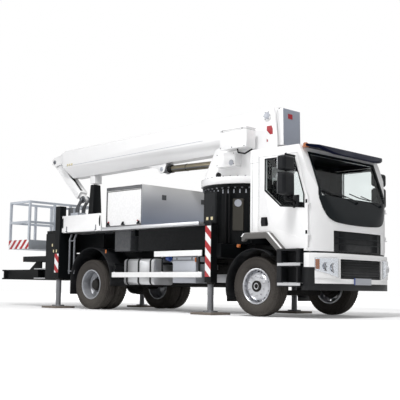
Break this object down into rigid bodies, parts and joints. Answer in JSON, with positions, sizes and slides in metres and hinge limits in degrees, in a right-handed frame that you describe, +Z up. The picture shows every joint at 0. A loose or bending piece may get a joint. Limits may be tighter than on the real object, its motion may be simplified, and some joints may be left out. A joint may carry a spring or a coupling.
{
  "type": "cherry picker truck",
  "caption": "Two-axle flatbed truck with a slewing telescopic boom over the cab, folding jib, rotating work basket and extending outriggers.",
  "frame": {"origin": "on the ground, below the middle of the overall box", "axes": "+X forward, +Y to the truck's left, +Z up"},
  "size_m": [9.47, 3.04, 3.7729],
  "materials": {
    "white_paint": "gloss",
    "black_paint": "satin",
    "dark_metal": "satin",
    "black_plastic": "grained",
    "tyre": "matt",
    "rim_alloy": "polished",
    "rim_silver": "satin",
    "glass": "tinted",
    "lamp_glass": "clear",
    "visor_blue": "gloss",
    "body_aluminium": "satin",
    "grey_paint": "satin",
    "jack_steel": "brushed",
    "cylinder_bronze": "satin",
    "rod_chrome": "polished",
    "basket_aluminium": "satin",
    "interior_plastic": "grained",
    "seat_fabric": "woven"
  },
  "bodies": {
    "chassis": {"chassis_frame": "dark_metal", "engine_block": "dark_metal", "front_axle": "dark_metal", "rear_axle": "dark_metal", "cab_shell": "white_paint", "cab_glass": "glass", "dashboard": "interior_plastic", "seats": "seat_fabric", "front_bumper": "white_paint", "grille": "black_plastic", "lights": "lamp_glass", "cab_steps": "black_plastic", "mudguards": "black_plastic", "sun_visor": "visor_blue", "pedestal": "black_paint", "bed_deck": "body_aluminium", "tool_locker": "grey_paint", "locker_shutters": "white_paint", "boom_rest": "black_paint", "underbed_boxes": "grey_paint", "fuel_tank": "body_aluminium", "side_guards": "body_aluminium", "rear_body": "black_paint"},
    "knuckle_right": {"knuckle_right": "dark_metal"},
    "wheel_front_right": {"front_tyre_right": "tyre", "front_rim_right": "rim_alloy"},
    "wheel_rear_right": {"rear_tyres_right": "tyre", "rear_rims_right": "rim_silver"},
    "door_right": {"door_right": "white_paint", "door_glass_right": "glass"},
    "dropside_right": {"dropside_right": "white_paint"},
    "beam_right": {"outrigger_beam_right": "black_paint"},
    "jack_front_right": {"jack_front_right": "jack_steel"},
    "jack_rear_right": {"jack_rear_right": "jack_steel"},
    "knuckle_left": {"knuckle_left": "dark_metal"},
    "wheel_front_left": {"front_tyre_left": "tyre", "front_rim_left": "rim_alloy"},
    "wheel_rear_left": {"rear_tyres_left": "tyre", "rear_rims_left": "rim_silver"},
    "door_left": {"door_left": "white_paint", "door_glass_left": "glass"},
    "dropside_left": {"dropside_left": "white_paint"},
    "beam_left": {"outrigger_beam_left": "black_paint"},
    "jack_front_left": {"jack_front_left": "jack_steel"},
    "jack_rear_left": {"jack_rear_left": "jack_steel"},
    "turret": {"turret": "white_paint"},
    "boom_base": {"boom_base": "white_paint"},
    "boom_middle": {"boom_middle": "white_paint"},
    "boom_tip": {"boom_tip": "white_paint"},
    "lift_barrel": {"lift_barrel": "cylinder_bronze"},
    "lift_rod": {"lift_rod": "rod_chrome"},
    "jib": {"jib": "white_paint"},
    "level_link": {"level_link": "jack_steel"},
    "basket_mount": {"basket_mount": "basket_aluminium"},
    "basket": {"basket": "basket_aluminium"}
  },
  "joints": [
    {"name": "steer_left", "type": "hinge", "parent": "chassis", "child": "knuckle_left", "pos_m": [3.395, 0.9, 0.505], "axis": [0, 0, 1], "range_deg": [-38, 38]},
    {"name": "steer_right", "type": "hinge", "parent": "chassis", "child": "knuckle_right", "pos_m": [3.395, -0.9, 0.505], "axis": [0, 0, 1], "range_deg": [-38, 38]},
    {"name": "wheel_front_right", "type": "hinge", "parent": "knuckle_right", "child": "wheel_front_right", "pos_m": [3.395, -1.04, 0.505], "axis": [0, 1, 0], "continuous": true},
    {"name": "wheel_rear_right", "type": "hinge", "parent": "chassis", "child": "wheel_rear_right", "pos_m": [-1.005, -0.925, 0.505], "axis": [0, 1, 0], "continuous": true},
    {"name": "wheel_front_left", "type": "hinge", "parent": "knuckle_left", "child": "wheel_front_left", "pos_m": [3.395, 1.04, 0.505], "axis": [0, 1, 0], "continuous": true},
    {"name": "wheel_rear_left", "type": "hinge", "parent": "chassis", "child": "wheel_rear_left", "pos_m": [-1.005, 0.925, 0.505], "axis": [0, 1, 0], "continuous": true},
    {"name": "door_right", "type": "hinge", "parent": "chassis", "child": "door_right", "pos_m": [4.468, -1.152, 1.9], "axis": [0, 0, 1], "range_deg": [0, 70]},
    {"name": "door_left", "type": "hinge", "parent": "chassis", "child": "door_left", "pos_m": [4.468, 1.152, 1.9], "axis": [0, 0, -1], "range_deg": [0, 70]},
    {"name": "dropside_right", "type": "hinge", "parent": "chassis", "child": "dropside_right", "pos_m": [-1.33, -1.2525, 1.595], "axis": [1, 0, 0], "range_deg": [0, 175]},
    {"name": "dropside_left", "type": "hinge", "parent": "chassis", "child": "dropside_left", "pos_m": [-1.33, 1.2525, 1.595], "axis": [-1, 0, 0], "range_deg": [0, 175]},
    {"name": "beam_right", "type": "slide", "parent": "chassis", "child": "beam_right", "axis": [0, -1, 0], "range_m": [0, 0.9]},
    {"name": "beam_left", "type": "slide", "parent": "chassis", "child": "beam_left", "axis": [0, 1, 0], "range_m": [0, 0.9]},
    {"name": "jack_front_right", "type": "slide", "parent": "beam_right", "child": "jack_front_right", "axis": [0, 0, 1], "range_m": [0, 0.4]},
    {"name": "jack_rear_right", "type": "slide", "parent": "chassis", "child": "jack_rear_right", "axis": [0, 0, 1], "range_m": [0, 0.4]},
    {"name": "jack_front_left", "type": "slide", "parent": "beam_left", "child": "jack_front_left", "axis": [0, 0, 1], "range_m": [0, 0.4]},
    {"name": "jack_rear_left", "type": "slide", "parent": "chassis", "child": "jack_rear_left", "axis": [0, 0, 1], "range_m": [0, 0.4]},
    {"name": "slew", "type": "hinge", "parent": "chassis", "child": "turret", "pos_m": [2.145, 0, 2.36], "axis": [0, 0, 1], "continuous": true},
    {"name": "luff", "type": "hinge", "parent": "turret", "child": "boom_base", "pos_m": [2.945, 0, 3.61], "axis": [0, 1, 0], "range_deg": [0, 75]},
    {"name": "extend_middle", "type": "slide", "parent": "boom_base", "child": "boom_middle", "axis": [-0.9998, 0, -0.0192], "range_m": [0, 4.6]},
    {"name": "extend_tip", "type": "slide", "parent": "boom_middle", "child": "boom_tip", "axis": [-0.9998, 0, -0.0192], "range_m": [0, 4.6]},
    {"name": "lift_barrel", "type": "hinge", "parent": "turret", "child": "lift_barrel", "pos_m": [2.245, 0, 2.89], "axis": [0, 1, 0], "range_deg": [0, 77]},
    {"name": "lift_rod", "type": "slide", "parent": "lift_barrel", "child": "lift_rod", "axis": [-0.9999, 0, 0.0169], "range_m": [0, 1.22]},
    {"name": "jib", "type": "hinge", "parent": "boom_tip", "child": "jib", "pos_m": [-3.865, 0, 3.43], "axis": [0, 1, 0], "range_deg": [0, 140]},
    {"name": "level_link", "type": "hinge", "parent": "jib", "child": "level_link", "pos_m": [-2.83233, 0, 2.46702], "axis": [0, 1, 0], "range_deg": [-75, 0]},
    {"name": "basket_mount", "type": "hinge", "parent": "level_link", "child": "basket_mount", "pos_m": [-2.83233, 0, 2.46702], "axis": [0, 1, 0], "range_deg": [-140, 0]},
    {"name": "basket_turn", "type": "hinge", "parent": "basket_mount", "child": "basket", "pos_m": [-3.52533, 0, 1.86702], "axis": [0, 0, 1], "range_deg": [-90, 90]}
  ],
  "couplings": [
    {"joint": "steer_right", "follows": "steer_left", "ratio": 1},
    {"joint": "extend_tip", "follows": "extend_middle", "ratio": 1},
    {"joint": "lift_barrel", "follows": "luff", "ratio": 1.026},
    {"joint": "lift_rod", "follows": "luff", "m_per_rad": 0.9309},
    {"joint": "level_link", "follows": "luff", "ratio": -1},
    {"joint": "basket_mount", "follows": "jib", "ratio": -1}
  ]
}
